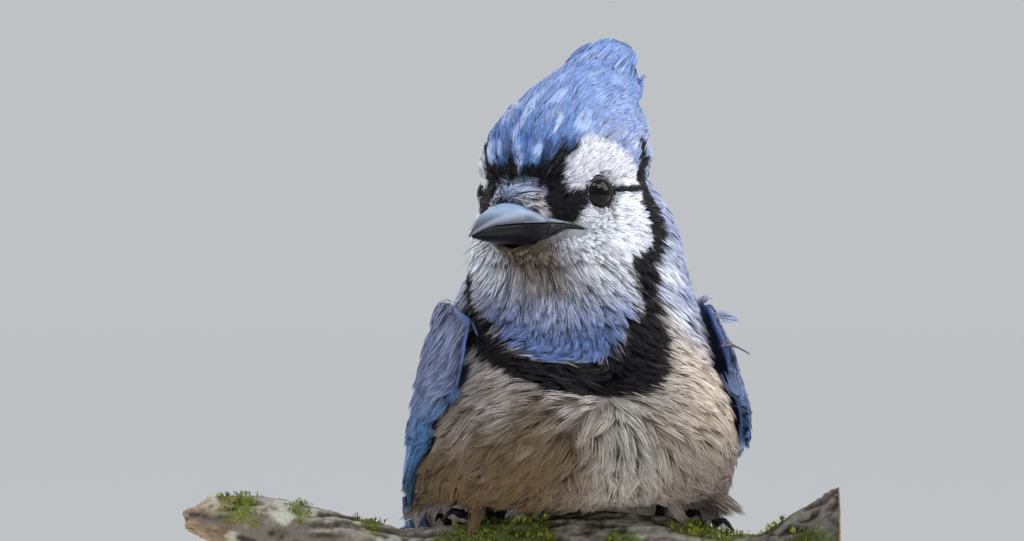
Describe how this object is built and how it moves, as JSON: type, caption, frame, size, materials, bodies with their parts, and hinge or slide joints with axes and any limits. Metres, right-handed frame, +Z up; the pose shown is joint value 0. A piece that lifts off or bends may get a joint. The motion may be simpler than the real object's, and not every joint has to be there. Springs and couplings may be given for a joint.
{
  "type": "perched crested songbird model",
  "caption": "Life-size still model of a crested blue songbird that grips a short cut branch, held over a round base by two rods.",
  "frame": {"origin": "middle of the underside of the stand's base", "axes": "+Z up, the bird's breast faces -Y, its left is +X"},
  "size_m": [0.144, 0.1858, 0.234],
  "materials": {
    "plumage": "soft matt feathers, white, grey-beige and black by region",
    "crest_blue": "soft matt periwinkle blue feathers",
    "wing_blue": "smooth blue vanes with black bars and white tips",
    "bill_horn": "smooth slate-black horn",
    "eye": "wet brown-black, glossy",
    "scaly_skin": "black scaly skin",
    "claw_horn": "black horn, satin",
    "bark": "rough bark with moss and lichen",
    "stand_wood": "dark satin wood",
    "stand_steel": "brushed"
  },
  "bodies": {
    "root": {"head": "plumage", "crest": "crest_blue", "neck": "plumage", "trunk": "plumage", "wing_left": "wing_blue", "wing_right": "wing_blue", "tail": "wing_blue", "leg_left": "scaly_skin", "leg_right": "scaly_skin", "claw_left_inner": "claw_horn", "claw_left_middle": "claw_horn", "claw_left_outer": "claw_horn", "claw_left_hind": "claw_horn", "claw_right_inner": "claw_horn", "claw_right_middle": "claw_horn", "claw_right_outer": "claw_horn", "claw_right_hind": "claw_horn", "eye_left": "eye", "eye_right": "eye", "bill_upper": "bill_horn", "bill_lower": "bill_horn", "perch_branch": "bark", "stand_base": "stand_wood", "stand_rod_left": "stand_steel", "stand_rod_right": "stand_steel"}
  },
  "joints": []
}
